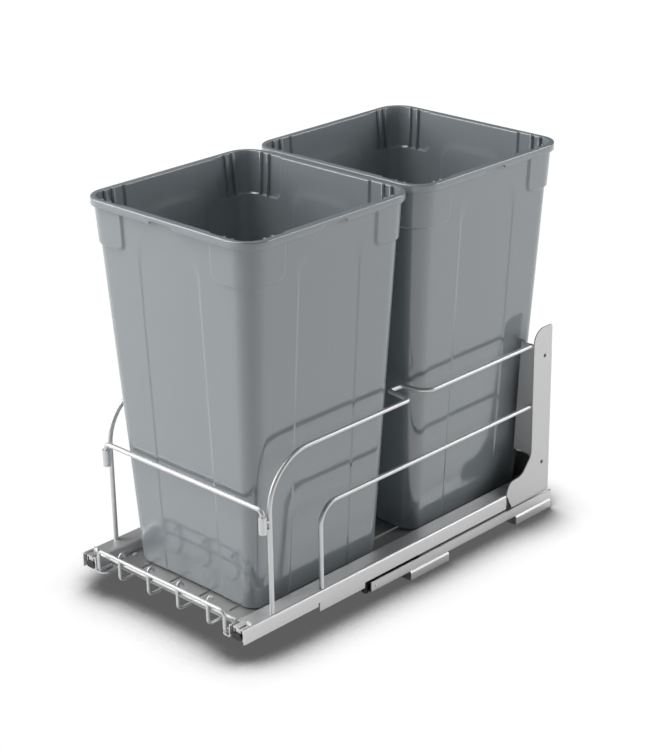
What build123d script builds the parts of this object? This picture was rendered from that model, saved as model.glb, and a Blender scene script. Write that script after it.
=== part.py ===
from build123d import *
import os

# Pull-out waste unit: two lift-out bins in a wire frame on full-extension runners.
# Drawn in millimetres with the runners' rear ends at Y = 0 and the cabinet floor at Z = 0,
# the door side towards +Y; each piece is saved centred front to back.
# The piece on +X of each pair is drawn and called right, and the left one is its mirror image.

# runners, as fitted
rail_length = 570.0
steel = 1.5                 # thickness of the rails, brackets and cabinet rails
bend = 3.0                  # outside radius of the folds
edge_bend = 1.2
bore_play = 0.05            # between a pin and its hole

# drawer rail: a cover over the slide with a ledge towards the middle
rail_face = 146.5           # outer face, from the centre plane
rail_cover = 25.5           # width over the slide
rail_top = 48.5
rail_foot = 28.8            # lower edge of the outer wall
ledge_width = 16.0
ledge_top = 31.6
ledge_corner = 9.0
outer_wall_end = 482.0
catch_tab = (127.0, 207.0)  # start and end along Y
catch_tab_foot = 21.5
catch_slit = (2.5, 5.0)
end_slot = (3.0, 12.0)
end_slot_offsets = (5.8, 18.0)  # slot centres from the inner edge of the cover
hook_tab = (7.0, 1.2, 3.0)
hook_tab_start = 15.5

# slide inside the drawer rail
roller_gap = 3.5            # between the drawer rail and the middle rail
middle_steel = 1.2
middle_bend = 2.4
middle_top = 45.3
middle_foot = 29.5
middle_start, middle_end = 3.0, 565.0
inner_roller_gap = 3.2      # between the middle rail and the track
track_top = 42.2
track_bend = 2.0
track_inset = (49.0, 2.0)   # from the rear and front ends of the cabinet rail
roller_play = 0.1
cage_wall = 0.8
outer_cage_span = (130.0, 435.0)
inner_cage_span = (267.0, 439.0)
cage_clearance_top = 0.5
cage_foot = 32.0
rollers_per_side = 5
roller_height = 6.0
roller_level = 37.0
window_play = 0.4
middle_tab = (2.5, 8.0, 4.6)    # from the inner wall, width, drop below the top
plug_start, plug_end = 0.5, 11.5
plug_overhang = 1.5         # past the middle rail's inner wall
plug_levels = (30.8, 38.9)
plug_round = 3.5
plug_shoulder = 1.0

# cabinet rail that is screwed down
strip_face = 150.0
strip_start, strip_end = 215.0, 574.0
strip_foot, strip_top = 12.0, 26.5
web_width = 25.0
foot_length = 73.0
foot_starts = (287.0, 498.0)
foot_jog = 2.0
foot_jog_bend = 2.0
foot_top = 14.0
foot_inner = 127.0
foot_screw = 143.0          # screw hole from the centre plane
foot_hole_radius = 2.5
access_radius = 3.8

# soft-close damper beside the track, and the catch that slides in it
damper_faces = (138.5, 144.6)
damper_top = 28.0
damper_end = 310.0
nose_start = 206.5
nose_foot = 11.0
nose_slant = (3.5, 5.0)
catch_slot = (225.0, 272.0)
catch_slot_levels = (15.2, 20.8)
catch_slot_depth = 3.6
catch_length = 14.0
catch_play = 0.1
catch_face = 147.2
catch_finger = 5.0
catch_round = 1.0

# door-side brackets that carry the ends of the guard wires
bracket_outline = [
    (573.0, 26.5), (494.0, 26.5), (482.5, 49.5), (489.5, 65.0), (514.0, 66.5),
    (533.5, 90.0), (533.5, 267.5), (570.5, 267.5), (570.5, 228.5),
]
bracket_bends = [2.0, 10.0, 12.0, 20.0, 20.0, 20.0, 4.0]
bracket_wire_edge = 533.5
bracket_front = 573.0
wire_flange_inner = 138.0
wire_flange_levels = (102.0, 247.0)
front_flange_inner = 98.0
front_flange_top = 228.5
bracket_foot = (125.0, 555.0)  # inner edge and rear end of the foot on the rail
bracket_holes = [(556.0, 226.3), (556.0, 72.9)]
bracket_hole_radius = 2.6

# floor sheet and the wires below it
sheet_steel = 1.2
sheet_rear, sheet_front = 24.0, rail_length
sheet_gap = 1.3             # to the rail walls
lip_top = 69.0
lip_corner = 12.0
loop_places = (-80.0, -26.7, 26.7, 80.0)
slot_width = 6.6
slot_start, slot_end = 40.0, sheet_front - 22.0
loop_wire = 4.4
loop_level = 29.4
loop_leg = 4.6
loop_tip = (66.0, 9.0, 6.0)    # top, curl forwards, drop at the sides
loop_bends = [2.6, 4.0, 7.0]
cross_wire_level = 50.7
cross_wire_y = 9.0
cross_wire_reach = 124.0
tie_places = {"rear": 150.0, "front": 440.0}
tie_reach = 118.0
tie_joggle = (100.0, 94.0)
tie_bend = 3.0
screw_insets = (59.3, 40.0)     # from the rear and front ends of the rail
screw_places = [(115.2, screw_insets[0]), (115.2, rail_length - screw_insets[1])]
screw_radius = 2.0
screw_head = (3.6, 2.0)
screw_length = 8.0
screw_round = 1.2

# wires above the rails
rear_wire = 4.8
rear_wire_level = 62.0
rear_wire_gap = 7.0         # from the rails' inner walls
rear_wire_end = 20.0
rear_wire_bends = (5.0, 8.0)
guard_wire = 6.0
guard_face = 141.5
upper_guard_level = 245.5
upper_guard_post = 51.5
upper_guard_bend = 65.0
guard_jog = [(141.5, 293.0), (104.0, 298.5), (105.0, 320.5), (130.0, 324.5), (141.5, 336.0)]
guard_jog_bends = [5.0, 5.0, 5.0, 12.0, 12.0]
lower_guard_level = 159.3
lower_guard_post = 135.5
lower_guard_bend = 27.5

# lift-out crossbar
bar_wire = 6.4
bar_level = 186.0
bar_place = (139.0, 42.6)
bar_bend = 7.5
sleeve_wall = 1.8
sleeve_levels = (156.0, 178.0)
lug_levels = (160.0, 171.0)
lug_size = (4.0, 3.0)

# bins
bin_rim_top = 510.7
bin_rim = (287.2, 275.8, 32.6)
bin_band = 9.6
bin_wall_inset = 6.4        # middle of a wall, behind the band
bin_foot = (211.0, 222.0, 19.0)
bin_foot_round = 5.0
bin_skin = 3.0
bin_floor = 3.0
rim_skin = 2.0
notch_half_widths = (20.0, 17.0)
notch_depth = 4.0
pad_depth = 57.2
pad_proud = 1.8
pad_edge = 75.0             # from the middle of a wall
pad_round = 10.0
panel_width = 101.0
panel_drop = 36.7           # below the top of the rim
panel_round = 24.0
panel_depth = 1.0
rib_size = (2.0, 2.0)
rib_places = ((97.0, 110.0), (92.0, 104.0))     # along X on the end walls, along Y on the side walls
bin_places = {"rear": 167.0, "front": 449.2}

# derived
rail_inner = rail_face - rail_cover
rear_wire_reach = rail_inner - rear_wire_gap
ledge_inner = rail_inner - ledge_width
middle_faces = (rail_inner + steel + roller_gap, rail_face - steel - roller_gap)
track_faces = (
    middle_faces[0] + middle_steel + inner_roller_gap,
    middle_faces[1] - middle_steel - inner_roller_gap,
)
sheet_top = ledge_top + sheet_steel
web_top = strip_foot + steel
model_rear = -rear_wire / 2
model_front = bin_places["front"] + bin_rim[1] / 2
y_middle = (model_front + model_rear) / 2


def save(part, name):
    placed = part.moved(Location((0, -y_middle, 0)))
    placed.label = name
    export_step(placed, f"parts/{name}.step")


def save_pair(part, name):
    save(part, "right_" + name)
    save(mirror(part, about=Plane.YZ), "left_" + name)


# a folded strip: its outer line in the XZ plane, thickened inwards and run along Y
def folded(line, bends, thickness, start, end):
    with BuildPart() as strip:
        with BuildSketch(Plane.XZ.offset(-start)):
            with BuildLine():
                FilletPolyline(*line, radius=bends)
                offset(amount=thickness, side=Side.RIGHT)
            make_face()
        extrude(amount=start - end)
    return strip.part


def block(x_range, y_range, z_range):
    size = [high - low for low, high in (x_range, y_range, z_range)]
    centre = [(high + low) / 2 for low, high in (x_range, y_range, z_range)]
    return Pos(*centre) * Box(*size, mode=Mode.PRIVATE)


# round wire bent along a path
def rod(points, bends, diameter):
    with BuildPart() as wire:
        with BuildLine() as path:
            FilletPolyline(*points, radius=bends)
        with BuildSketch(Plane(origin=path.line @ 0, z_dir=path.line % 0)):
            Circle(diameter / 2)
        sweep()
    return wire.part


def straight_rod(start, end, diameter):
    with BuildPart() as wire:
        with BuildLine() as path:
            Line(start, end)
        with BuildSketch(Plane(origin=path.line @ 0, z_dir=path.line % 0)):
            Circle(diameter / 2)
        sweep()
    return wire.part


os.makedirs("parts", exist_ok=True)

# drawer rail
with BuildPart() as drawer_rail:
    add(folded(
        [(rail_face, rail_foot), (rail_face, rail_top), (rail_inner, rail_top),
         (rail_inner, ledge_top), (ledge_inner, ledge_top)][::-1],
        [edge_bend, bend, bend], steel, 0, rail_length))
    fillet(drawer_rail.edges().filter_by(Axis.Z).group_by(Axis.X)[0], ledge_corner)
    add(block((rail_face - steel, rail_face), (outer_wall_end, rail_length + 1),
              (rail_foot - 1, rail_top + 1)), mode=Mode.SUBTRACT)
    add(block((rail_face - steel, rail_face), catch_tab, (catch_tab_foot, rail_foot + 1)))
    add(block((rail_face - 2 * steel, rail_face + 1),
              (catch_tab[0] - catch_slit[0], catch_tab[0]),
              (rail_foot - 1, rail_foot + catch_slit[1])), mode=Mode.SUBTRACT)
    for slot_offset in end_slot_offsets:
        slot_centre = rail_inner + slot_offset
        add(block((slot_centre - end_slot[0] / 2, slot_centre + end_slot[0] / 2),
                  (-1, end_slot[1]), (rail_top - 2 * steel, rail_top + 1)), mode=Mode.SUBTRACT)
        add(block((slot_centre - hook_tab[0] / 2, slot_centre + hook_tab[0] / 2),
                  (hook_tab_start, hook_tab_start + hook_tab[1]),
                  (rail_top - steel / 2, rail_top + hook_tab[2])))
    with Locations([(x, y, ledge_top) for x, y in screw_places]):
        Hole(screw_radius + bore_play)
save_pair(drawer_rail.part, "drawer_rail")

# middle rail and its rear plug
middle_hollow = (middle_faces[0] + middle_steel, middle_faces[1] - middle_steel)
with BuildPart() as middle_rail:
    add(folded([(middle_faces[0], middle_foot), (middle_faces[0], middle_top),
                (middle_faces[1], middle_top), (middle_faces[1], middle_foot)],
               [middle_bend, middle_bend], middle_steel, middle_start, middle_end))
    tab_offset, tab_width, tab_drop = middle_tab
    add(block((middle_hollow[0] + tab_offset, middle_hollow[0] + tab_offset + tab_width),
              (middle_start, middle_start + middle_steel),
              (middle_top - middle_steel - tab_drop, middle_top - middle_steel)))
save_pair(middle_rail.part, "middle_rail")
with BuildPart() as end_plug:
    add(block((middle_faces[0] - plug_overhang, middle_hollow[1]), (plug_start, middle_start), plug_levels))
    fillet(end_plug.edges().filter_by(Axis.Y), plug_round)
    add(block((middle_hollow[0], middle_hollow[1] - plug_shoulder), (middle_start, plug_end),
              (plug_levels[0] + plug_shoulder, plug_levels[1] - plug_shoulder)))
save_pair(end_plug.part, "middle_rail_plug")

# track that stands on the cabinet rail
with BuildPart() as track:
    add(folded(
        [(track_faces[0], web_top), (track_faces[0], track_top),
         (track_faces[1], track_top), (track_faces[1], web_top)],
        [track_bend, track_bend], middle_steel, strip_start + track_inset[0], strip_end - track_inset[1]))
save_pair(track.part, "cabinet_track")


# roller cage saddled over a rail, with windows for its rollers
def cage(inner_faces, gap, top, span):
    low = inner_faces[0] - gap / 2 - cage_wall / 2
    high = inner_faces[1] + gap / 2 + cage_wall / 2
    roller_radius = gap / 2 - roller_play
    start, end = span
    pitch = (end - start) / rollers_per_side
    places = [start + pitch * (i + 0.5) for i in range(rollers_per_side)]
    spots = [(x, y, roller_level) for x in (low + cage_wall / 2, high - cage_wall / 2) for y in places]
    with BuildPart() as strip:
        add(folded([(low, cage_foot), (low, top), (high, top), (high, cage_foot)],
                   [edge_bend, edge_bend], cage_wall, start, end))
        with Locations(spots):
            Box(2 * cage_wall, 2 * (roller_radius + window_play),
                roller_height + 2 * window_play, mode=Mode.SUBTRACT)
    with BuildPart() as rollers:
        with Locations(spots):
            Cylinder(roller_radius, roller_height)
    return strip.part, rollers.part


outer_cage, outer_rollers = cage(middle_faces, roller_gap,
                                 rail_top - steel - cage_clearance_top, outer_cage_span)
inner_cage, inner_rollers = cage(track_faces, inner_roller_gap,
                                 middle_top - middle_steel - cage_clearance_top, inner_cage_span)
save_pair(outer_cage, "outer_cage")
save_pair(outer_rollers, "outer_rollers")
save_pair(inner_cage, "inner_cage")
save_pair(inner_rollers, "inner_rollers")

# cabinet rail with its two feet
with BuildPart() as cabinet_rail:
    add(folded([(strip_face, strip_top), (strip_face, strip_foot), (strip_face - web_width, strip_foot)],
               [bend], steel, strip_start, strip_end))
    for foot_start in foot_starts:
        add(folded([(strip_face, foot_top), (strip_face + foot_jog, foot_top - foot_jog),
                    (strip_face + foot_jog, 0), (foot_inner, 0)],
                   [foot_jog_bend, bend], steel, foot_start, foot_start + foot_length))
        foot_middle = foot_start + foot_length / 2
        with Locations((foot_screw, foot_middle, 0)):
            Cylinder(foot_hole_radius, 4 * steel, mode=Mode.SUBTRACT)
        with Locations((foot_screw, foot_middle, strip_foot)):
            Cylinder(access_radius, 4 * steel, mode=Mode.SUBTRACT)
save_pair(cabinet_rail.part, "cabinet_rail")

# damper housing with a hanging nose, and the catch in its slot
with BuildPart() as damper:
    with BuildSketch(Plane.YZ.offset(damper_faces[0])):
        with BuildLine():
            Polyline(
                (nose_start, damper_top), (damper_end, damper_top), (damper_end, web_top),
                (strip_start, web_top), (strip_start, nose_foot),
                (nose_start + nose_slant[0], nose_foot), (nose_start, nose_foot + nose_slant[1]),
                close=True)
        make_face()
    extrude(amount=damper_faces[1] - damper_faces[0])
    add(block((damper_faces[1] - catch_slot_depth, damper_faces[1] + 1), catch_slot, catch_slot_levels),
        mode=Mode.SUBTRACT)
save_pair(damper.part, "damper_housing")
with BuildPart() as catch:
    catch_levels = (catch_slot_levels[0] + catch_play, catch_slot_levels[1] - catch_play)
    catch_rear = catch_slot[0] + catch_play
    add(block((damper_faces[1] - catch_slot_depth + catch_play, damper_faces[1]),
              (catch_rear, catch_rear + catch_length), catch_levels))
    add(block((damper_faces[1], catch_face), (catch_rear, catch_rear + catch_finger), catch_levels))
    fillet(catch.edges().filter_by(Axis.Z).group_by(Axis.X)[-1], catch_round)
save_pair(catch.part, "damper_catch")

# door-side bracket
with BuildPart() as bracket:
    with BuildSketch(Plane.YZ.offset(rail_face - steel)):
        with BuildLine():
            side = FilletPolyline(*bracket_outline, radius=bracket_bends)
            Polyline(side @ 1, (bracket_front, front_flange_top), side @ 0)
        make_face()
        with Locations(bracket_holes):
            Circle(bracket_hole_radius, mode=Mode.SUBTRACT)
    extrude(amount=steel)
    add(block((wire_flange_inner, rail_face), (bracket_wire_edge, bracket_wire_edge + steel),
              wire_flange_levels))
    add(block((front_flange_inner, rail_face), (bracket_front - steel, bracket_front),
              (rail_top, front_flange_top)))
    add(block((bracket_foot[0], rail_face - steel), (bracket_foot[1], bracket_front),
              (rail_top, rail_top + steel)))
    front_corner = bracket.edges().filter_by(Axis.Z).filter_by_position(
        Axis.X, rail_face - 0.1, rail_face + 0.1).sort_by(Axis.Y)[-1]
    fillet(front_corner, bend)
save_pair(bracket.part, "door_bracket")

# floor sheet with wire slots and an upturned front lip
with BuildPart() as floor_sheet:
    sheet_reach = rail_inner - sheet_gap
    add(block((-sheet_reach, sheet_reach), (sheet_rear, sheet_front), (ledge_top, sheet_top)))
    add(block((-sheet_reach, sheet_reach), (sheet_front - sheet_steel, sheet_front), (ledge_top, lip_top)))
    lip_corners = floor_sheet.edges().filter_by(Axis.Y).filter_by_position(
        Axis.Z, lip_top - 0.1, lip_top + 0.1)
    fillet(lip_corners, lip_corner)
    with BuildSketch(Plane.XY.offset(ledge_top)):
        with Locations([(x, (slot_start + slot_end) / 2) for x in loop_places]):
            SlotOverall(slot_end - slot_start, slot_width, rotation=90)
    extrude(amount=sheet_steel, mode=Mode.SUBTRACT)
    with Locations([(side * x, y, sheet_top) for side in (-1, 1) for x, y in screw_places]):
        Hole(screw_radius + bore_play)
save(floor_sheet.part, "floor_sheet")
with BuildPart() as floor_screws:
    with Locations([(side * x, y, sheet_top) for side in (-1, 1) for x, y in screw_places]):
        Cylinder(screw_head[0], screw_head[1], align=(Align.CENTER, Align.CENTER, Align.MIN))
        Cylinder(screw_radius, screw_length, align=(Align.CENTER, Align.CENTER, Align.MAX))
    fillet(floor_screws.edges().filter_by(GeomType.CIRCLE).group_by(Axis.Z)[-1], screw_round)
save(floor_screws.part, "floor_screws")

# floor wires, each with a loop standing up at the rear end
for number, x in enumerate(loop_places, 1):
    top, curl, drop = loop_tip
    save(rod([(x, loop_leg + curl, top - drop), (x, loop_leg + curl / 2, top + edge_bend), (x, loop_leg, top - drop),
              (x, loop_leg, loop_level), (x, slot_end - slot_width, loop_level)],
             loop_bends, loop_wire), f"floor_wire_{number}")
for place, y in tie_places.items():
    high = ledge_top - steel - loop_wire / 2
    low = loop_level - loop_wire
    outer, inner = tie_joggle
    save(rod([(-tie_reach, y, high), (-outer, y, high), (-inner, y, low),
              (inner, y, low), (outer, y, high), (tie_reach, y, high)],
             tie_bend, loop_wire), f"{place}_tie_wire")

# wires at the rear end
wire_rest = ledge_top + rear_wire / 2
save(rod([(-rear_wire_reach, rear_wire_end, wire_rest), (-rear_wire_reach, 0, wire_rest),
          (-rear_wire_reach, 0, rear_wire_level), (rear_wire_reach, 0, rear_wire_level),
          (rear_wire_reach, 0, wire_rest), (rear_wire_reach, rear_wire_end, wire_rest)],
         [*rear_wire_bends, *rear_wire_bends[::-1]], rear_wire), "rear_top_wire")
save(straight_rod((-cross_wire_reach, cross_wire_y, cross_wire_level),
                  (cross_wire_reach, cross_wire_y, cross_wire_level), loop_wire), "rear_cross_wire")

# guard wires beside the bins
save_pair(rod([(guard_face, upper_guard_post, rail_top), (guard_face, upper_guard_post, upper_guard_level),
               *[(x, y, upper_guard_level) for x, y in guard_jog],
               (guard_face, bracket_wire_edge, upper_guard_level)],
              [upper_guard_bend, *guard_jog_bends], guard_wire), "upper_guard_wire")
save_pair(rod([(guard_face, lower_guard_post, rail_top), (guard_face, lower_guard_post, lower_guard_level),
               (guard_face, bracket_wire_edge, lower_guard_level)],
              lower_guard_bend, guard_wire), "lower_guard_wire")

# sleeves on the upper guard wires, and the crossbar that lifts out of them
bar_x, bar_y = bar_place
sleeve_radius = bar_wire / 2 + sleeve_wall
with BuildPart() as sleeve:
    with Locations((bar_x, bar_y, sleeve_levels[0])):
        Cylinder(sleeve_radius, sleeve_levels[1] - sleeve_levels[0],
                 align=(Align.CENTER, Align.CENTER, Align.MIN))
    with Locations([(guard_face, upper_guard_post - guard_wire / 2 - lug_size[0] / 4, z) for z in lug_levels]):
        Box(lug_size[0], lug_size[0], lug_size[1])
    with Locations((guard_face, upper_guard_post, sleeve_levels[0])):
        Cylinder(guard_wire / 2 + bore_play, 4 * bar_level, mode=Mode.SUBTRACT)
    with Locations((bar_x, bar_y, sleeve_levels[0] + steel)):
        Cylinder(bar_wire / 2 + bore_play, bar_level, align=(Align.CENTER, Align.CENTER, Align.MIN),
                 mode=Mode.SUBTRACT)
save_pair(sleeve.part, "crossbar_sleeve")
bar_foot = sleeve_levels[0] + steel
save(rod([(-bar_x, bar_y, bar_foot), (-bar_x, bar_y, bar_level),
          (bar_x, bar_y, bar_level), (bar_x, bar_y, bar_foot)],
         bar_bend, bar_wire), "rear_crossbar")

# bins: tapered walls, a rolled rim and corner pads under it
bin_low = sheet_top
wall_size = [bin_rim[0] - 2 * bin_wall_inset, bin_rim[1] - 2 * bin_wall_inset, bin_rim[2] - bin_wall_inset]


# block between two levels that follows the walls, grown outwards by "grow"
def wall_block(low, high, grow):
    with BuildPart() as solid:
        for level in (low, high):
            share = (level - bin_low) / (bin_rim_top - bin_low)
            x, y, corner = [a + (b - a) * share for a, b in zip(bin_foot, wall_size)]
            with BuildSketch(Plane.XY.offset(level)):
                RectangleRounded(x + 2 * grow, y + 2 * grow, corner + grow)
        loft()
    return solid.part


# outlines seen square on to a wall, run right through the bin along X or along Y
def through(plane, outline):
    with BuildPart() as prism:
        with BuildSketch(plane):
            add(outline)
        extrude(amount=bin_rim[0], both=True)
    return prism.part


# the two corner columns of a wall, with rounded lower corners
def pad_outline(low):
    reach = bin_rim[0]
    with BuildSketch(Plane.XY) as outline:
        with Locations((0, low)):
            Rectangle(2 * reach, 2 * pad_depth, align=(Align.CENTER, Align.MIN))
            Rectangle(2 * pad_edge, 2 * pad_depth, align=(Align.CENTER, Align.MIN), mode=Mode.SUBTRACT)
        inner_corners = outline.vertices().sort_by(lambda v: abs(v.X) + 10 * v.Y)[:2]
        fillet(inner_corners, pad_round)
    return outline.sketch


with BuildSketch() as panel_outline:
    with Locations((0, bin_rim_top - panel_drop)):
        Rectangle(panel_width, bin_rim_top, align=(Align.CENTER, Align.MAX))
    fillet(panel_outline.vertices().group_by(Axis.Y)[-1], panel_round)

with BuildSketch() as notch_outline:
    band_foot = bin_rim_top - bin_band
    wide, narrow = notch_half_widths
    with BuildLine():
        Polyline((-wide, band_foot), (wide, band_foot), (narrow, band_foot + notch_depth),
                 (-narrow, band_foot + notch_depth), close=True)
    make_face()


def both_ways(outline):
    return through(Plane.XZ, outline) + through(Plane.YZ, outline)


# walls with the recessed panels, and the pads above them
panels = both_ways(panel_outline.sketch)
pad_low = bin_rim_top - pad_depth


def dented(low, grow, foot_round=0):
    with BuildPart() as solid:
        add(wall_block(low, bin_rim_top, grow))
        if foot_round:
            fillet(solid.faces().sort_by(Axis.Z)[0].edges(), foot_round)
        add(panels - wall_block(bin_low - bin_skin, bin_rim_top + 1, grow - panel_depth), mode=Mode.SUBTRACT)
    return solid.part


def pads(low, grow):
    columns = through(Plane.XZ, pad_outline(low)) & through(Plane.YZ, pad_outline(low))
    return wall_block(low, bin_rim_top, grow) & columns


# thin plates across the bin that the ribs are cut from
def rib_plates():
    across_x, across_y = rib_places
    with BuildPart() as plates:
        with Locations([(side * x, 0, pad_low) for side in (-1, 1) for x in across_x]):
            Box(rib_size[0], bin_rim[1], pad_depth, align=(Align.CENTER, Align.CENTER, Align.MIN))
        with Locations([(0, side * y, pad_low) for side in (-1, 1) for y in across_y]):
            Box(bin_rim[0], rib_size[0], pad_depth, align=(Align.CENTER, Align.CENTER, Align.MIN))
    return plates.part


with BuildPart() as bin_body:
    with BuildSketch(Plane.XY.offset(bin_rim_top)):
        RectangleRounded(*bin_rim)
    extrude(amount=-bin_band)
    fillet(bin_body.faces().sort_by(Axis.Z)[-1].edges(), rim_skin * 0.7)
    with BuildSketch(Plane.XY.offset(bin_rim_top - bin_band)):
        RectangleRounded(*[size - 2 * rim_skin for size in bin_rim[:2]], bin_rim[2] - rim_skin)
    extrude(amount=bin_band - rim_skin, mode=Mode.SUBTRACT)
    add(both_ways(notch_outline.sketch), mode=Mode.SUBTRACT)
    add(dented(bin_low, 0, bin_foot_round))
    add(pads(pad_low, pad_proud))
    add(dented(bin_low + bin_floor, -bin_skin), mode=Mode.SUBTRACT)
    cavity_pads = pads(pad_low + bin_skin, pad_proud - bin_skin)
    ribs = rib_plates() - wall_block(pad_low - 1, bin_rim_top + 1, pad_proud - bin_skin - rib_size[1])
    add(cavity_pads - ribs, mode=Mode.SUBTRACT)
for place, y in bin_places.items():
    save(bin_body.part.moved(Location((0, y, 0))), f"{place}_bin")
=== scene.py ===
import bpy
import math
import numpy as np
from mathutils import Matrix


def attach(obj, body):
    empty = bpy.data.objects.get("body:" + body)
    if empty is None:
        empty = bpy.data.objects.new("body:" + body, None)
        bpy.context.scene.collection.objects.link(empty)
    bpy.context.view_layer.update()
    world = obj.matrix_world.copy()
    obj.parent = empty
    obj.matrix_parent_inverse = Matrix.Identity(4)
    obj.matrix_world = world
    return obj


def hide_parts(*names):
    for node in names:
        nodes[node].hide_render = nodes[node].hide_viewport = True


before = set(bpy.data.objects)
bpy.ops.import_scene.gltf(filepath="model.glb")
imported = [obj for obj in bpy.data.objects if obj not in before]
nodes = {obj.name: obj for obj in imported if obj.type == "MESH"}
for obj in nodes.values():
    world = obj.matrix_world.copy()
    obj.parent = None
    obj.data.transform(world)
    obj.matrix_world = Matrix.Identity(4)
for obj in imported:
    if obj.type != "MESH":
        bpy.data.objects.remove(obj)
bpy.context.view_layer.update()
print("stage: frame loaded,", len(nodes), "nodes")

# colours are linear; spread is how far the grain moves the roughness, grain how deep it is
looks = {
    "zincSteel": {"colour": (0.78, 0.78, 0.78), "roughness": 0.46, "metallic": 0.7,
                  "grain": 0.05, "spread": 0.05},
    # painted light: the brackets' steel is a lighter copy of the zinc steel, standing in for the light that
    # falls on the brackets
    "bracketSteel": {"colour": (0.85, 0.85, 0.85), "roughness": 0.5, "metallic": 0.25,
                     "grain": 0.05, "spread": 0.05},
    # painted light: the cabinet rails' strips get a lighter copy of the zinc steel, so they read as lit as
    # brightly as the drawer rails
    "litStripSteel": {"colour": (0.8, 0.8, 0.8), "roughness": 0.46, "metallic": 0.6,
                   "grain": 0.05, "spread": 0.05},
    # painted shade: the floor sheet is a darker copy of the steel, standing in for the shade under and
    # between the bins
    "paintedShadeSheet": {"colour": (0.5, 0.495, 0.49), "roughness": 0.5, "metallic": 0.75,
                  "grain": 0.05, "spread": 0.04},
    "chromedWire": {"colour": (0.72, 0.725, 0.73), "roughness": 0.46, "metallic": 0.75,
                    "spread": (-0.03, 0.04)},
    "binPlastic": {"colour": (0.315, 0.35, 0.372), "roughness": 0.12, "specular": 0.9,
                   "ior": 1.65, "texture": 0.02},
    "blackPlastic": {"colour": (0.018, 0.018, 0.019), "roughness": 0.4, "specular": 0.5,
                     "ior": 1.5, "texture": 0.05},
    "rollerPlastic": {"colour": (0.6, 0.6, 0.58), "roughness": 0.4, "specular": 0.5,
                      "ior": 1.5, "texture": 0.05},
}
# noise scale, detail and stretch; bump distance in metres
steelGrain = {"scale": 90.0, "detail": 4.0, "stretch": (1.0, 0.04, 1.0), "bump": 0.0001}
wireCloud = {"scale": 60.0, "detail": 2.0, "stretch": (1.0, 1.0, 1.0)}
plasticGrain = {"scale": 900.0, "detail": 2.0, "stretch": (1.0, 1.0, 1.0), "bump": 0.00005}


def newMaterial(name, look):
    material = bpy.data.materials.new(name)
    material.use_nodes = True
    shader = material.node_tree.nodes["Principled BSDF"]
    shader.inputs["Base Color"].default_value = (*look["colour"], 1.0)
    shader.inputs["Roughness"].default_value = look["roughness"]
    shader.inputs["Metallic"].default_value = look.get("metallic", 0.0)
    return material, material.node_tree, shader


def noiseNode(tree, grain):
    place = tree.nodes.new("ShaderNodeTexCoord")
    mapping = tree.nodes.new("ShaderNodeMapping")
    mapping.inputs["Scale"].default_value = grain["stretch"]
    noise = tree.nodes.new("ShaderNodeTexNoise")
    noise.inputs["Scale"].default_value = grain["scale"]
    noise.inputs["Detail"].default_value = grain["detail"]
    tree.links.new(place.outputs["Object"], mapping.inputs["Vector"])
    tree.links.new(mapping.outputs["Vector"], noise.inputs["Vector"])
    return noise.outputs["Fac"]


def varyRoughness(tree, shader, source, low, high):
    node = tree.nodes.new("ShaderNodeMapRange")
    node.inputs["To Min"].default_value = low
    node.inputs["To Max"].default_value = high
    tree.links.new(source, node.inputs["Value"])
    tree.links.new(node.outputs["Result"], shader.inputs["Roughness"])


def addBump(tree, shader, source, distance, strength):
    bump = tree.nodes.new("ShaderNodeBump")
    bump.inputs["Distance"].default_value = distance
    bump.inputs["Strength"].default_value = strength
    tree.links.new(source, bump.inputs["Height"])
    tree.links.new(bump.outputs["Normal"], shader.inputs["Normal"])


def steelMaterial(name):
    look = looks[name]
    material, tree, shader = newMaterial(name, look)
    grain = noiseNode(tree, steelGrain)
    middle, spread = look["roughness"], look["spread"]
    varyRoughness(tree, shader, grain, middle - spread, middle + spread)
    addBump(tree, shader, grain, steelGrain["bump"], look["grain"])
    return material


def wireMaterial(name):
    look = looks[name]
    material, tree, shader = newMaterial(name, look)
    low, high = (look["roughness"] + change for change in look["spread"])
    varyRoughness(tree, shader, noiseNode(tree, wireCloud), low, high)
    return material


def plasticMaterial(name):
    look = looks[name]
    material, tree, shader = newMaterial(name, look)
    shader.inputs["Specular IOR Level"].default_value = look["specular"]
    shader.inputs["IOR"].default_value = look["ior"]
    addBump(tree, shader, noiseNode(tree, plasticGrain), plasticGrain["bump"], look["texture"])
    return material


zincSteel = steelMaterial("zincSteel")
bracketSteel = steelMaterial("bracketSteel")
litStripSteel = steelMaterial("litStripSteel")
chromedWire = wireMaterial("chromedWire")
paintedShadeSheet = steelMaterial("paintedShadeSheet")
binPlastic = plasticMaterial("binPlastic")
blackPlastic = plasticMaterial("blackPlastic")
rollerPlastic = plasticMaterial("rollerPlastic")


def materialOf(name):
    if name.endswith("_bin"):
        return binPlastic
    # the floor sheet gets the darker steel with painted shade
    if name == "floor_sheet":
        return paintedShadeSheet
    # brackets get the lighter steel with painted light
    if name.endswith("bracket"):
        return bracketSteel
    # cabinet rails get the lighter steel with painted light
    if name.endswith("cabinet_rail"):
        return litStripSteel
    if "wire" in name or "crossbar" in name:
        return chromedWire
    if "rollers" in name:
        return rollerPlastic
    if "cage" in name or "plug" in name or "damper" in name:
        return blackPlastic
    return zincSteel


for name, node in nodes.items():
    node.data.materials.clear()
    node.data.materials.append(materialOf(name))
print("stage: materials on the frame")


def addMesh(name, points, faces, material, smooth=False):
    mesh = bpy.data.meshes.new(name)
    mesh.from_pydata(points, [], faces)
    if smooth:
        mesh.polygons.foreach_set("use_smooth", [True] * len(mesh.polygons))
    mesh.materials.append(material)
    mesh.update()
    thing = bpy.data.objects.new(name, mesh)
    bpy.context.scene.collection.objects.link(thing)
    return thing


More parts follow.
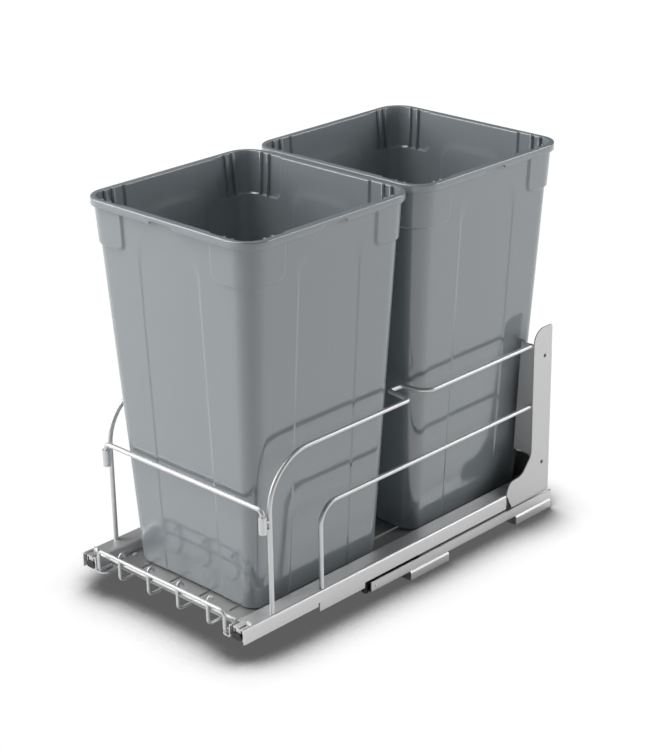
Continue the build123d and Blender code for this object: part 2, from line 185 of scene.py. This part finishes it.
# Each bin is one closed skin: a profile of levels swept round a rounded rectangle.
# Pads, panels and notches are soft steps added along the wall's normal.
# foot and top are half width, half depth and corner radius at the levels low and high.
binForm = {
    "places": {"rear_bin": -0.12535, "front_bin": 0.15685},
    "foot": (0.1055, 0.111, 0.019), "top": (0.1372, 0.1315, 0.0262), "low": 0.0328, "high": 0.5107,
    "skin": 0.003, "floor": 0.003, "footRound": 0.005, "innerRound": 0.008,
    "rim": 0.0064, "rimRound": 0.0014, "lipRound": 0.0012,
    "band": 0.0096, "bandTop": 0.0035, "bandSkin": 0.002, "bandEdge": 0.0005,
    "notch": {"half": 0.0185, "soft": 0.0015, "depth": 0.004},
    "pad": {"edge": 0.075, "low": 0.4535, "round": 0.010, "proud": 0.0027, "soft": 0.001,
            "inside": 0.9},
    "panel": {"edge": 0.0505, "top": 0.474, "round": 0.024, "proud": -0.0008, "soft": 0.0018,
              "topSoft": 0.009, "fade": 0.035, "inside": 1.8},
    "arcSteps": {"inner": 5, "lip": 4, "rim": 5, "foot": 6},
}
# ribs inside the corners: their places from the middle of a wall, width and depth,
# how deep the sides and the back sit in the wall, and the rib's share of depth at each level
ribForm = {
    "places": ((0.097, 0.110), (0.092, 0.104)), "width": 0.0024, "proud": 0.0038,
    "shoulder": 0.6, "root": (0.0003, -0.0018), "topGap": 0.0001,
    "rows": (("bottom", -0.004, 0.1), ("bottom", 0.001, 1.0), ("top", -0.0004, 1.0), ("top", 0.0, 0.85)),
}
# millimetres from a wall's middle at which the skin has points, finer where a step may be
wallSteps = np.array([0, 12, 16, 17, 18, 19, 20, 21, 30, 40, 45, 47, 48, 49, 50, 51, 52, 53, 54, 57, 62, 68,
                      72, 73, 74, 75, 76, 77, 78]) / 1000
tailSteps = np.linspace(0, 1, 7)[1:]
cornerSteps = 14
# levels of the skin's rings between the foot and the band, finer at the pads' and panels' edges
wallLevels = np.concatenate([
    np.linspace(0.05, 0.43, 12), np.arange(0.438, 0.4502, 0.003), np.arange(0.4515, 0.4595, 0.0008),
    np.arange(0.4615, 0.479, 0.0015), np.linspace(0.482, binForm["high"] - binForm["bandTop"], 5)])


def softStep(distance, soft):
    share = np.clip(0.5 + distance / (2 * soft), 0, 1)
    return share * share * (3 - 2 * share)


def insideCorner(a, b, radius):
    # depth inside the region a > 0, b > 0 whose corner is rounded
    near = (a < radius) & (b < radius)
    return np.where(near, radius - np.hypot(radius - a, radius - b), np.minimum(a, b))


def relief(along, level, lift=0.0):
    # how far pad and panel stand out at a place on a wall; the panel's edge fades towards its top
    pad, panel = binForm["pad"], binForm["panel"]
    across = np.abs(along)
    padDepth = insideCorner(across - pad["edge"], level - pad["low"] - lift, pad["round"])
    panelDepth = insideCorner(panel["edge"] - across, panel["top"] - level, panel["round"])
    fading = np.clip(1 - (panel["top"] - level) / panel["fade"], 0, 1)
    panelSoft = panel["soft"] + (panel["topSoft"] - panel["soft"]) * fading
    return (pad["proud"] * softStep(padDepth, pad["soft"]),
            panel["proud"] * softStep(panelDepth, panelSoft))


def innerWall(along, level):
    pad, panel = relief(along, level, binForm["skin"])
    return -binForm["skin"] + binForm["pad"]["inside"] * pad + binForm["panel"]["inside"] * panel


def outerWall(along, level):
    pad, panel = relief(along, level)
    return pad + panel


def wallSize(level):
    share = (level - binForm["low"]) / (binForm["high"] - binForm["low"])
    return [a + (b - a) * share for a, b in zip(binForm["foot"], binForm["top"])]


def turned(x, y, wall):
    # the same place on another of the four walls
    turn = wall * math.pi / 2
    return x * math.cos(turn) - y * math.sin(turn), x * math.sin(turn) + y * math.cos(turn)


def ringPoints(level, sizeLevel, grow):
    # one ring round the bin: level may be a function of the place along a wall,
    # and grow, the distance from the plain wall, one of place and level
    halfX, halfY, corner = wallSize(sizeLevel)
    points = []
    for wall in range(4):
        half, other = (halfX, halfY) if wall % 2 == 0 else (halfY, halfX)
        flat = half - corner
        tail = wallSteps[-1] + (flat - wallSteps[-1]) * tailSteps
        positive = np.concatenate([wallSteps, tail])
        along = np.concatenate([-positive[:0:-1], positive])
        up = level(along) if callable(level) else np.full(along.shape, level)
        out = grow(along, up) if callable(grow) else np.full(along.shape, grow)
        angle = np.linspace(0, math.pi / 2, cornerSteps + 2)[1:-1]
        bend = corner + out[-1]
        x = np.concatenate([along, flat + bend * np.sin(angle)])
        y = np.concatenate([-(other + out), -(other - corner) - bend * np.cos(angle)])
        z = np.concatenate([up, np.full(angle.shape, up[-1])])
        points.append(np.stack([*turned(x, y, wall), z], axis=1))
    return np.concatenate(points)


def arc(radius, start, end, steps):
    # points of an arc as (up, out) from its centre
    turns = np.radians(np.linspace(start, end, steps))
    return [(radius * math.sin(t), radius * math.cos(t)) for t in turns]


def binRings():
    # from the floor up the inside, over the rim, down the band and down the outside
    high, low, skin, rim = (binForm[key] for key in ("high", "low", "skin", "rim"))
    innerRound, footRound = binForm["innerRound"], binForm["footRound"]
    rimRound, lipRound = binForm["rimRound"], binForm["lipRound"]
    bandSkin, bandEdge, notch = binForm["bandSkin"], binForm["bandEdge"], binForm["notch"]
    floorTop, bandLow = low + binForm["floor"], high - binForm["band"]
    arcSteps = binForm["arcSteps"]

    def notched(lift):
        return lambda along: (bandLow + lift
                              + notch["depth"] * softStep(notch["half"] - np.abs(along), notch["soft"]))

    rings = [ringPoints(floorTop + innerRound + up, floorTop, -skin - innerRound + out)
             for up, out in arc(innerRound, -90, 0, arcSteps["inner"])]
    rings += [ringPoints(level, level, innerWall) for level in wallLevels]
    rings += [ringPoints(high - lipRound + up, high, lambda a, u, out=out: innerWall(a, u) + lipRound + out)
              for up, out in arc(lipRound, 180, 90, arcSteps["lip"])]
    rings += [ringPoints(high - rimRound + up, high, rim - rimRound + out)
              for up, out in arc(rimRound, 90, 0, arcSteps["rim"])]
    rings.append(ringPoints(high - binForm["bandTop"], high, rim))
    rings.append(ringPoints(notched(bandEdge), high, rim))
    rings.append(ringPoints(notched(0.0), high, rim - bandEdge))
    rings.append(ringPoints(notched(0.0), high, rim - bandSkin))
    rings.append(ringPoints(high - bandSkin, high, rim - bandSkin))
    rings += [ringPoints(level, level, outerWall) for level in [high - bandSkin, *wallLevels[::-1]]]
    rings += [ringPoints(low + footRound - up, low, lambda a, u, out=out: outerWall(a, u) - footRound + out)
              for up, out in arc(footRound, 0, 90, arcSteps["foot"])]
    return rings


def ribPrisms():
    # small upright ribs inside the corners: a section across the wall, set at four levels
    half, proud = ribForm["width"] / 2, ribForm["proud"]
    rootSide, rootOut = ribForm["root"]
    section = [(-half - rootSide, rootOut), (-half, ribForm["shoulder"] * proud), (-half / 2, proud),
               (half / 2, proud), (half, ribForm["shoulder"] * proud), (half + rootSide, rootOut)]
    ends = {"bottom": binForm["pad"]["low"] + binForm["skin"], "top": binForm["high"] - ribForm["topGap"]}
    out = -binForm["skin"] + binForm["pad"]["inside"] * binForm["pad"]["proud"]
    prisms = []
    for wall in range(4):
        for place in ribForm["places"][wall % 2]:
            for side in (-1, 1):
                rows = []
                for end, shift, keep in ribForm["rows"]:
                    level = ends[end] + shift
                    other = wallSize(level)[1 - wall % 2]
                    rows += [(*turned(side * place + along, -(other + out - rise * keep), wall), level)
                             for along, rise in section]
                prisms.append(np.array(rows))
    return prisms, len(section)


def makeBin(node):
    rings = binRings()
    count = len(rings[0])
    faces = [(row * count + i, (row + 1) * count + i,
              (row + 1) * count + (i + 1) % count, row * count + (i + 1) % count)
             for row in range(len(rings) - 1) for i in range(count)]
    faces.append(tuple(range(count)))
    faces.append(tuple(range((len(rings) - 1) * count, len(rings) * count))[::-1])
    points = [np.concatenate(rings)]
    prisms, wide = ribPrisms()
    start = len(rings) * count
    for prism in prisms:
        tall = len(prism) // wide
        for row in range(tall - 1):
            for i in range(wide - 1):
                a = start + row * wide + i
                faces.append((a, a + 1, a + wide + 1, a + wide))
        faces.append(tuple(range(start + (tall - 1) * wide, start + tall * wide)))
        points.append(prism)
        start += len(prism)
    vertices = np.concatenate(points)
    vertices[:, 1] += binForm["places"][node]
    name = "rearBin" if node.startswith("rear") else "frontBin"
    made = addMesh(name, vertices.tolist(), faces, binPlastic, smooth=True)
    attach(made, node + "_body")
    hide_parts(node)
    print("stage: bin", name, len(made.data.polygons), "faces")


for node in binForm["places"]:
    makeBin(node)

# flange of each bracket that carries the guard wires, as an outline in X and Z; its inner edge
# slants with the bin beside it and its lower outer corner is hollow
flange = {"footX": 0.1155, "topX": 0.1245, "farX": 0.1449, "y": (0.24125, 0.24255), "z": (0.0905, 0.247),
          "bend": 0.008, "bendSteps": 9}
# folded edge inside each cabinet rail's strip
ledge = {"x": (0.1471, 0.1486), "y": (0.0197, 0.1897), "z": (0.0245, 0.0264)}
# rivet near the rear end of each strip: rings of a flat dome as shares of radius and height
rivet = {"x": 0.15, "y": -0.0693, "z": 0.0192, "radius": 0.0016, "high": 0.0006, "sunk": 0.0004,
         "steps": 24, "rings": ((1.0, 0.35), (0.85, 0.8), (0.5, 1.0))}


def addSteel(name, points, faces, body, material, smooth=False):
    thing = addMesh(name, points, faces, material, smooth)
    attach(thing, body)


def plate(name, outline, axis, depths, body, material):
    # an outline in the two other axes, drawn out along one axis
    count = len(outline)
    points = []
    for depth in depths:
        for spot in outline:
            point = list(spot)
            point.insert(axis, depth)
            points.append(point)
    faces = [tuple(range(count))[::-1], tuple(range(count, 2 * count))]
    faces += [(i, (i + 1) % count, count + (i + 1) % count, count + i) for i in range(count)]
    addSteel(name, points, faces, body, material)


def dome(name, side):
    steps = rivet["steps"]
    turns = np.linspace(0, 2 * math.pi, steps, endpoint=False)
    rings = [(1.0, -rivet["sunk"])] + [(share, rise * rivet["high"]) for share, rise in rivet["rings"]]
    points = [(side * (rivet["x"] + rise), rivet["y"] + side * share * rivet["radius"] * math.cos(t),
               rivet["z"] + share * rivet["radius"] * math.sin(t)) for share, rise in rings for t in turns]
    faces = [(row * steps + i, row * steps + (i + 1) % steps, (row + 1) * steps + (i + 1) % steps,
              (row + 1) * steps + i) for row in range(len(rings) - 1) for i in range(steps)]
    faces += [tuple(range(steps))[::-1], tuple(range((len(rings) - 1) * steps, len(rings) * steps))]
    addSteel(name, points, faces, "cabinet", zincSteel, smooth=True)


foot, top = flange["z"]
hollow = [(flange["farX"] - flange["bend"] * (1 - math.sin(t)), foot - flange["bend"] * (1 - math.cos(t)))
          for t in np.radians(np.linspace(0, 90, flange["bendSteps"]))]
flangeOutline = [(flange["topX"], top), (flange["footX"], foot), *hollow, (flange["farX"], top)]
ledgeOutline = [(ledge["y"][i], ledge["z"][j]) for i, j in ((0, 0), (1, 0), (1, 1), (0, 1))]
for label, side in (("right", 1), ("left", -1)):
    outline = [(side * x, z) for x, z in flangeOutline]
    # the wire flanges take the brackets' lighter steel with painted light
    plate(label + "WireFlange", outline, 1, flange["y"], "drawer", bracketSteel)
    # the strip ledges take the strips' lighter steel with painted light
    plate(label + "StripLedge", ledgeOutline, 0, [side * x for x in ledge["x"]], "cabinet", litStripSteel)
for label, side in (("right", 1), ("left", -1)):
    dome(label + "StripRivet", side)
print("stage: small steel pieces")

# The floor is a plain diffuse one for the light it throws back. Where the camera or a mirror-like
# surface sees it, it is white with a soft contact shadow that leans away from the light.
floorLook = {
    "colour": 0.85, "seen": 1.02, "size": 30.0,
    "shadow": {"reach": 0.095, "range": (0.6, 0.98), "depth": 0.11, "lean": (-0.3, 0.0, 1.0), "samples": 16},
}


def makeFloor():
    shadow = floorLook["shadow"]
    material = bpy.data.materials.new("studioFloor")
    material.use_nodes = True
    tree = material.node_tree
    tree.nodes.clear()
    bounce = tree.nodes.new("ShaderNodeBsdfDiffuse")
    bounce.inputs["Color"].default_value = (floorLook["colour"],) * 3 + (1.0,)
    contact = tree.nodes.new("ShaderNodeAmbientOcclusion")
    contact.samples = shadow["samples"]
    contact.inputs["Distance"].default_value = shadow["reach"]
    lean = np.array(shadow["lean"])
    contact.inputs["Normal"].default_value = (lean / np.linalg.norm(lean)).tolist()
    fade = tree.nodes.new("ShaderNodeMapRange")
    fade.interpolation_type = "SMOOTHSTEP"
    fade.inputs["From Min"].default_value, fade.inputs["From Max"].default_value = shadow["range"]
    fade.inputs["To Min"].default_value = shadow["depth"]
    fade.inputs["To Max"].default_value = floorLook["seen"]
    shown = tree.nodes.new("ShaderNodeEmission")
    rays = tree.nodes.new("ShaderNodeLightPath")
    either = tree.nodes.new("ShaderNodeMath")
    either.operation = "MAXIMUM"
    blend = tree.nodes.new("ShaderNodeMixShader")
    output = tree.nodes.new("ShaderNodeOutputMaterial")
    for source, target in (
            (contact.outputs["AO"], fade.inputs["Value"]),
            (fade.outputs["Result"], shown.inputs["Strength"]),
            (rays.outputs["Is Camera Ray"], either.inputs[0]),
            (rays.outputs["Is Glossy Ray"], either.inputs[1]),
            (either.outputs["Value"], blend.inputs["Fac"]),
            (bounce.outputs["BSDF"], blend.inputs[1]),
            (shown.outputs["Emission"], blend.inputs[2]),
            (blend.outputs["Shader"], output.inputs["Surface"])):
        tree.links.new(source, target)
    size = floorLook["size"]
    corners = [(-size, -size, 0), (size, -size, 0), (size, size, 0), (-size, size, 0)]
    addMesh("studioFloor", corners, [(0, 1, 2, 3)], material)


makeFloor()

# sky: bright towards the horizon, darker overhead; bend is where it changes, as the height of
# the direction; lamps are soft boxes with power in watts and sizes and places in metres
light = {
    "zenith": 0.95, "horizon": 1.25, "bend": (0.15, 0.8),
    "lamps": {
        "leftBox": {"power": 26.0, "size": (1.4, 1.2), "at": (-1.55, -1.45, 0.95), "aim": (0.0, 0.0, 0.25)},
        "rightBox": {"power": 20.0, "size": (1.4, 1.2), "at": (1.45, 1.55, 0.95), "aim": (0.0, 0.0, 0.25)},
        "topBox": {"power": 19.0, "size": (1.2, 1.2), "at": (-0.6, -0.75, 1.95), "aim": (0.0, 0.0, 0.3)},
    },
}


def areaLight(name, spec):
    lamp = bpy.data.lights.new(name, "AREA")
    lamp.shape = "RECTANGLE"
    lamp.size, lamp.size_y = spec["size"]
    lamp.energy = spec["power"]
    thing = bpy.data.objects.new(name, lamp)
    thing.location = spec["at"]
    aim = np.array(spec["aim"]) - np.array(spec["at"])
    flat = math.hypot(aim[0], aim[1])
    thing.rotation_euler = (math.atan2(flat, -aim[2]), 0.0, math.atan2(aim[1], aim[0]) - math.pi / 2)
    bpy.context.scene.collection.objects.link(thing)


def makeSky():
    world = bpy.data.worlds.new("studio")
    world.use_nodes = True
    tree = world.node_tree
    direction = tree.nodes.new("ShaderNodeTexCoord")
    split = tree.nodes.new("ShaderNodeSeparateXYZ")
    height = tree.nodes.new("ShaderNodeMapRange")
    height.interpolation_type = "SMOOTHSTEP"
    height.inputs["From Min"].default_value, height.inputs["From Max"].default_value = light["bend"]
    height.inputs["To Min"].default_value = light["horizon"]
    height.inputs["To Max"].default_value = light["zenith"]
    tree.links.new(direction.outputs["Generated"], split.inputs["Vector"])
    tree.links.new(split.outputs["Z"], height.inputs["Value"])
    tree.links.new(height.outputs["Result"], tree.nodes["Background"].inputs["Strength"])
    bpy.context.scene.world = world


for lampName, lampSpec in light["lamps"].items():
    areaLight(lampName, lampSpec)
makeSky()

# the photo's viewpoint: yaw, pitch and roll in degrees about the target
camera = {
    "lens": 62.9, "sensor": 24.0, "shift": (0.00838, 0.02127),
    "yaw": 44.499, "pitch": 22.993, "roll": -1.010,
    "target": (0.000123, -0.01221, 0.221535), "distance": 2.49619,
}


def makeCamera():
    yaw, pitch, roll = (math.radians(camera[key]) for key in ("yaw", "pitch", "roll"))
    forward = np.array([-math.sin(yaw) * math.cos(pitch), math.cos(yaw) * math.cos(pitch), -math.sin(pitch)])
    level = np.array([math.cos(yaw), math.sin(yaw), 0.0])
    upright = np.cross(level, forward)
    right = math.cos(roll) * level + math.sin(roll) * upright
    up = -math.sin(roll) * level + math.cos(roll) * upright
    spot = np.array(camera["target"]) - camera["distance"] * forward
    data = bpy.data.cameras.new("photoCamera")
    data.sensor_fit = "VERTICAL"
    data.sensor_height = camera["sensor"]
    data.lens = camera["lens"]
    data.shift_x, data.shift_y = camera["shift"]
    thing = bpy.data.objects.new("photoCamera", data)
    rows = [[right[i], up[i], -forward[i], spot[i]] for i in range(3)]
    thing.matrix_world = Matrix(rows + [[0.0, 0.0, 0.0, 1.0]])
    bpy.context.scene.collection.objects.link(thing)
    bpy.context.scene.camera = thing


makeCamera()
bpy.context.scene.view_settings.view_transform = "Standard"
print("stage: studio and camera")
